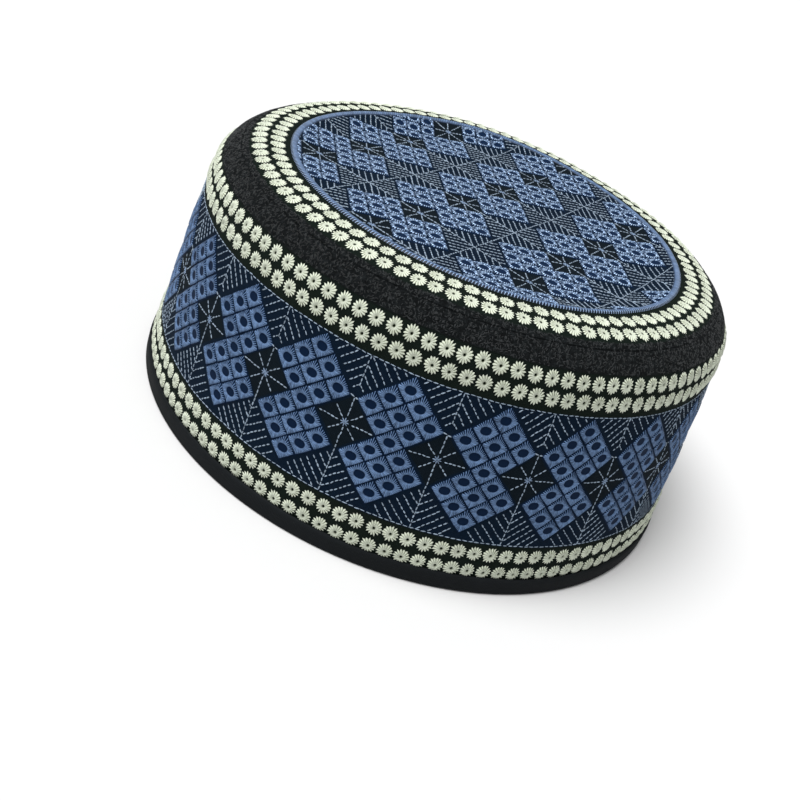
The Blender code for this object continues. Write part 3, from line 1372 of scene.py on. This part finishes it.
def trim_round(piece, radius, cuts=60):
    """Cut off what lies outside a circle, with straight cuts all round."""
    start_clean()
    bpy.context.view_layer.objects.active = piece
    piece.select_set(True)
    bpy.ops.object.mode_set(mode="EDIT")
    for number in range(cuts):
        angle = 2 * math.pi * number / cuts
        outward = (math.cos(angle), math.sin(angle), 0)
        bpy.ops.mesh.select_all(action="SELECT")
        bpy.ops.mesh.bisect(
            plane_co=[radius * MM * part for part in outward], plane_no=outward, clear_outer=True
        )
    bpy.ops.object.mode_set(mode="OBJECT")


class KUFI_OT_margins(bpy.types.Operator):
    """Sew the tangled black seed stitches between the daisies of the side and those of the crown"""

    bl_idname = "kufi.margins"
    bl_label = "Sew the black margins"

    def execute(self, context):
        settings = context.scene.kufi
        master = dash_master(settings.sizes)
        thread = black_thread(settings.colours)
        luck = chance()
        seam = seam_along()
        bare = SIDE_DAISIES[0][0] + 0.58 * settings.sizes.daisy_height
        edge = along_at_radius(CROWN_DAISIES[0][0] + 0.55 * settings.sizes.daisy_height)
        for name, start, end, slot, crown in (
            ("side_margin", bare, seam - 0.2, "side_cotton", False),
            ("crown_margin", seam + 0.2, edge, "crown_cotton", True),
        ):
            middle = 2 * math.pi * float(np.interp((start + end) / 2, FINE, FINE_RADIUS))
            places = []
            for number in range(int(settings.sizes.margin_stitches * middle * (end - start))):
                along = luck.uniform(start, end)
                angle = luck.uniform(-math.pi, math.pi)
                reach = FULL_LENGTH - along
                spot = (reach * math.cos(angle), reach * math.sin(angle))
                places.append(
                    (
                        *(spot if crown else (angle * SIDE_SHARE, along)),
                        luck.uniform(0, math.pi),
                        luck.uniform(0.7, 1.25),
                        luck.uniform(0.5, 0.75),
                        luck.random(),
                    )
                )
            piece = lay_copies(name, master, places)
            wrap(piece, crown)
            piece.data.shade_smooth()
            keep(piece, name, slot, thread)
        discard(master)
        return {"FINISHED"}


class KUFI_OT_squares(bpy.types.Operator):
    """Sew the blue eyelet squares of the side and the crown"""

    bl_idname = "kufi.squares"
    bl_label = "Sew the eyelet squares"

    def execute(self, context):
        settings = context.scene.kufi
        sizes = settings.sizes
        thread = eyelet_thread("side_blue_satin", settings.colours, SIDE_THREADS, 0.0)
        master = square_master(sizes, SIDE_CELL, SIDE_THREADS, 1.0)
        side = lay_copies("side_squares", master, side_square_places())
        wrap(side)
        keep(side, "side_squares", "side_cotton", thread)
        discard(master)

        # The crown's copy of the satin is painted lighter, with a painted sheen, as the crown faces the
        # light.
        thread = eyelet_thread("crown_blue_satin", settings.colours, CROWN_THREADS, 1.0)
        master = square_master(sizes, CROWN_CELL, CROWN_THREADS, CROWN_EYE)
        limit = sizes.ring_radius - sizes.ring_width / 2
        places = crown_square_places(limit + 3.5)
        whole = [place for place in places if round_reach(place) < limit - 4.6]
        cut = [place for place in places if round_reach(place) >= limit - 4.6]
        crown = lay_copies("crown_squares", master, whole)
        edge = lay_copies("crown_squares_edge", master, cut)
        settle(crown)
        settle(edge)
        trim_round(edge, limit)
        crown = join([crown, edge])
        wrap(crown, crown=True)
        keep(crown, "crown_squares", "crown_cotton", thread)
        discard(master)
        return {"FINISHED"}


# Running stitches


def dash_master(sizes):
    """One running stitch, a millimetre long: a slim ball with its lower half cut away."""
    start_clean()
    bpy.ops.mesh.primitive_uv_sphere_add(
        segments=6, ring_count=4, radius=0.5 * MM, rotation=(0, math.pi / 2, 0)
    )
    thing = bpy.context.object
    bpy.ops.object.transform_apply(location=False, rotation=True, scale=False)
    bpy.ops.object.mode_set(mode="EDIT")
    bpy.ops.mesh.select_all(action="SELECT")
    bpy.ops.transform.resize(
        value=(1, sizes.dash_width, 0.8 * sizes.dash_width), center_override=(0, 0, 0)
    )
    bpy.ops.mesh.bisect(plane_co=(0, 0, -0.02 * MM), plane_no=(0, 0, -1), clear_outer=True)
    bpy.ops.object.mode_set(mode="OBJECT")
    return thing


def dash_places(lines, pitch, place, luck):
    """Places of the dashes of some lines; place turns the chart's x and y into the piece's."""
    places = []
    for start, end in lines:
        for x, y, direction, length in stitched_line(start, end, pitch):
            spot, turn = place(x + luck.normal(0, 0.05), y + luck.normal(0, 0.05))
            long = length * 0.86 * luck.normal(1, 0.08)
            wide = luck.normal(0.92, 0.10)
            places.append(
                (*spot, direction + turn + luck.normal(0, 0.07), long, wide, luck.random())
            )
    return places


class KUFI_OT_running(bpy.types.Operator):
    """Sew the stars, the slanting lines and the two long lines in running stitch"""

    bl_idname = "kufi.running"
    bl_label = "Sew the running stitches"

    def execute(self, context):
        settings = context.scene.kufi
        sizes = settings.sizes
        thread = running_thread(settings.colours)
        master = dash_master(sizes)
        luck = chance()
        round_length = 2 * math.pi * SIDE_SHARE
        half = round_length / REPEATS / 2
        upper = UPPER_LINE - STAR_HEIGHT
        lower = STAR_HEIGHT - LOWER_LINE
        places = []
        for number in range(REPEATS):
            angle = STAR_ANGLE + 2 * math.pi * number / REPEATS
            angle = (angle + math.pi) % (2 * math.pi) - math.pi
            middle = angle * SIDE_SHARE + luck.normal(0, 0.12)

            def on_side(x, y):
                return (middle + x, STAR_HEIGHT + y), 0.0

            lines = repeat_lines(half, upper, lower)
            places += dash_places(lines, sizes.dash_pitch, on_side, luck)
        for height in (UPPER_LINE, LOWER_LINE):
            line = [((-round_length / 2, height), (round_length / 2, height))]
            dashes = dash_places(line, 1.75, lambda x, y: ((x, y), 0.0), luck)
            places += [(*dash[:4], 0.8 * dash[4], dash[5]) for dash in dashes]
        side = lay_copies("side_running", master, places)
        wrap(side)
        keep(side, "side_running", "side_cotton", thread)

        stars, across, up = crown_stars()
        shrink = (CROWN_CELL[0] / SIDE_CELL[0], CROWN_CELL[1] / SIDE_CELL[1])
        reach = CROWN_PERIOD[1] / 2 / shrink[1]
        limit = sizes.ring_radius - sizes.ring_width / 2
        places = []
        for star in stars:
            if math.hypot(*star) > limit + 26:
                continue

            def on_crown(x, y):
                spot = star + x * shrink[0] * across + y * shrink[1] * up
                return tuple(spot), CROWN_TURN

            lines = repeat_lines(half, reach, reach)
            wide = CROWN_PERIOD[0] / 2 / shrink[0]
            lines.append(((-wide, reach), (wide, reach)))
            dashes = dash_places(lines, sizes.dash_pitch, on_crown, luck)
            places += [(*dash[:4], 1.15 * dash[4], dash[5]) for dash in dashes]
        places = [place for place in places if round_reach(place) < limit]
        crown = lay_copies("crown_running", master, places)
        settle(crown)
        wrap(crown, crown=True)
        keep(crown, "crown_running", "crown_cotton", thread)
        discard(master)
        return {"FINISHED"}


def knot_places(middle, turn, luck):
    """Places of the eight short stitches of one knot."""
    places = []
    for number in range(8):
        direction = turn + math.pi * number / 4 + luck.normal(0, 0.06)
        places.append(
            (
                middle[0] + 0.72 * math.cos(direction),
                middle[1] + 0.72 * math.sin(direction),
                direction,
                1.25 * luck.normal(1, 0.08),
                0.72,
                luck.random(),
            )
        )
    return places


class KUFI_OT_ring(bpy.types.Operator):
    """Sew the blue satin ring of the crown and the blue knots of the stars"""

    bl_idname = "kufi.ring"
    bl_label = "Sew the ring and the knots"

    def execute(self, context):
        settings = context.scene.kufi
        sizes = settings.sizes
        outer = sizes.ring_radius
        inner = outer - sizes.ring_width
        width = outer - inner
        corners = 288
        threads = 440
        ring = new_ring(corners, inner)
        grow_rings(
            [
                (inner, -0.05),
                (inner + 0.14 * width, 0.34),
                (inner + 0.38 * width, 0.52),
                (inner + 0.62 * width, 0.52),
                (inner + 0.86 * width, 0.34),
                (outer, -0.05),
            ]
        )
        bpy.ops.mesh.select_all(action="SELECT")
        bpy.ops.mesh.normals_make_consistent(inside=False)
        bpy.ops.object.mode_set(mode="OBJECT")
        shape = ring.data
        points = np.empty(len(shape.vertices) * 3)
        shape.vertices.foreach_get("co", points)
        points = points.reshape(-1, 3)
        points[:, 2] -= points[:, 2].min() + 0.05 * MM
        shape.vertices.foreach_set("co", points.ravel())

        def ring_map(points):
            angle = np.arctan2(points[:, 1], points[:, 0]) % (2 * math.pi)
            reach = np.hypot(points[:, 0], points[:, 1])
            return angle / (2 * math.pi) * threads, (reach - inner) / width

        place_map(shape, ring_map, threads)
        wrap(ring, crown=True)
        ring.data.shade_smooth()
        keep(ring, "crown_ring", "crown_cotton", ring_thread(settings.colours))
        self.sew_knots(settings, inner)
        return {"FINISHED"}

    def sew_knots(self, settings, limit):
        """Sew the small blue knot of eight short stitches in the middle of each star."""
        master = dash_master(settings.sizes)
        thread = knot_thread(settings.colours)
        luck = chance()
        side = []
        for number in range(REPEATS):
            angle = STAR_ANGLE + 2 * math.pi * number / REPEATS
            angle = (angle + math.pi) % (2 * math.pi) - math.pi
            side += knot_places((angle * SIDE_SHARE, STAR_HEIGHT), 0.0, luck)
        crown = []
        for star in crown_stars()[0]:
            if round_reach(star) < limit - 1.5:
                crown += knot_places(star, CROWN_TURN, luck)
        for name, places, slot in (
            ("side_knots", side, "side_cotton"),
            ("crown_knots", crown, "crown_cotton"),
        ):
            piece = lay_copies(name, master, places)
            if name == "crown_knots":
                settle(piece)
            wrap(piece, crown=name == "crown_knots")
            keep(piece, name, slot, thread)
        discard(master)


# Stage


class KUFI_OT_stage(bpy.types.Operator):
    """Set up the floor, the lights and the camera"""

    bl_idname = "kufi.stage"
    bl_label = "Set the stage"

    def execute(self, context):
        start_clean()
        bpy.ops.mesh.primitive_plane_add(size=12.0, location=(0, 0, 0))
        floor = bpy.context.object
        floor.name = "floor"
        make = Finish("pale_floor")
        floor.data.materials.append(make.finish((0.72, 0.72, 0.72, 1.0), 0.9))
        world = bpy.data.worlds.new("soft_light")
        context.scene.world = world
        world.use_nodes = True
        background = world.node_tree.nodes["Background"]
        background.inputs["Color"].default_value = (1.0, 1.0, 1.0, 1.0)
        background.inputs["Strength"].default_value = 0.4
        bpy.ops.object.light_add(type="SUN", location=(-0.5, -0.3, 1.0))
        sun = bpy.context.object
        sun.name = "soft_light_over"
        sun.data.energy = 3.5
        sun.data.angle = math.radians(35)
        sun.rotation_euler = Vector((0.30, 0.12, -0.94)).to_track_quat("-Z", "Y").to_euler()
        bpy.ops.object.camera_add()
        camera = bpy.context.object
        camera.name = "camera"
        camera.matrix_world = camera_matrix()
        camera.data.sensor_width = 36.0
        camera.data.lens = 46.23
        camera.data.clip_start = 0.01
        context.scene.camera = camera
        context.scene.view_settings.view_transform = "Standard"
        return {"FINISHED"}


def camera_matrix():
    """Place of the camera: 30 degrees above the cap, turned about its own line of sight."""
    distance = 371.5 * MM
    elevation = 0.5385
    yaw, pitch, roll = -0.0086, -0.1039, 0.3887
    spot = Vector((0, -distance * math.cos(elevation), distance * math.sin(elevation)))
    aim = Vector((0, 0, 0.45 * 94 * MM))
    ahead = (aim - spot).normalized()
    right = ahead.cross(Vector((0, 0, 1))).normalized()
    up = right.cross(ahead)
    ahead, right = (
        ahead * math.cos(yaw) + right * math.sin(yaw),
        right * math.cos(yaw) - ahead * math.sin(yaw),
    )
    ahead, up = (
        ahead * math.cos(pitch) + up * math.sin(pitch),
        up * math.cos(pitch) - ahead * math.sin(pitch),
    )
    right, up = (
        right * math.cos(roll) + up * math.sin(roll),
        up * math.cos(roll) - right * math.sin(roll),
    )
    back = -ahead
    return Matrix(
        (
            (right.x, up.x, back.x, spot.x),
            (right.y, up.y, back.y, spot.y),
            (right.z, up.z, back.z, spot.z),
            (0, 0, 0, 1),
        )
    )


class KUFI_PT_panel(bpy.types.Panel):
    """The cap's settings and steps"""

    bl_idname = "KUFI_PT_panel"
    bl_label = "Kufi"
    bl_space_type = "VIEW_3D"
    bl_region_type = "UI"
    bl_category = "Kufi"

    def draw(self, context):
        settings = context.scene.kufi
        for group in (settings.sizes, settings.colours):
            for name in group.__annotations__:
                self.layout.prop(group, name)
        for step in STEPS:
            self.layout.operator(step.bl_idname)


STEPS = (
    KUFI_OT_cloth,
    KUFI_OT_daisies,
    KUFI_OT_margins,
    KUFI_OT_squares,
    KUFI_OT_running,
    KUFI_OT_ring,
    KUFI_OT_stage,
)
CLASSES = (KufiSizes, KufiColours, KufiSettings) + STEPS + (KUFI_PT_panel,)


def register():
    """Make the settings, steps and panel known to Blender."""
    for item in CLASSES:
        bpy.utils.register_class(item)
    bpy.types.Scene.kufi = bpy.props.PointerProperty(type=KufiSettings)


def unregister():
    """Take them away again."""
    del bpy.types.Scene.kufi
    for item in reversed(CLASSES):
        bpy.utils.unregister_class(item)


def main():
    """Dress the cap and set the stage."""
    register()
    bpy.ops.kufi.cloth()
    bpy.ops.kufi.daisies()
    bpy.ops.kufi.margins()
    bpy.ops.kufi.squares()
    bpy.ops.kufi.running()
    bpy.ops.kufi.ring()
    bpy.ops.kufi.stage()


if __name__ == "__main__":
    main()
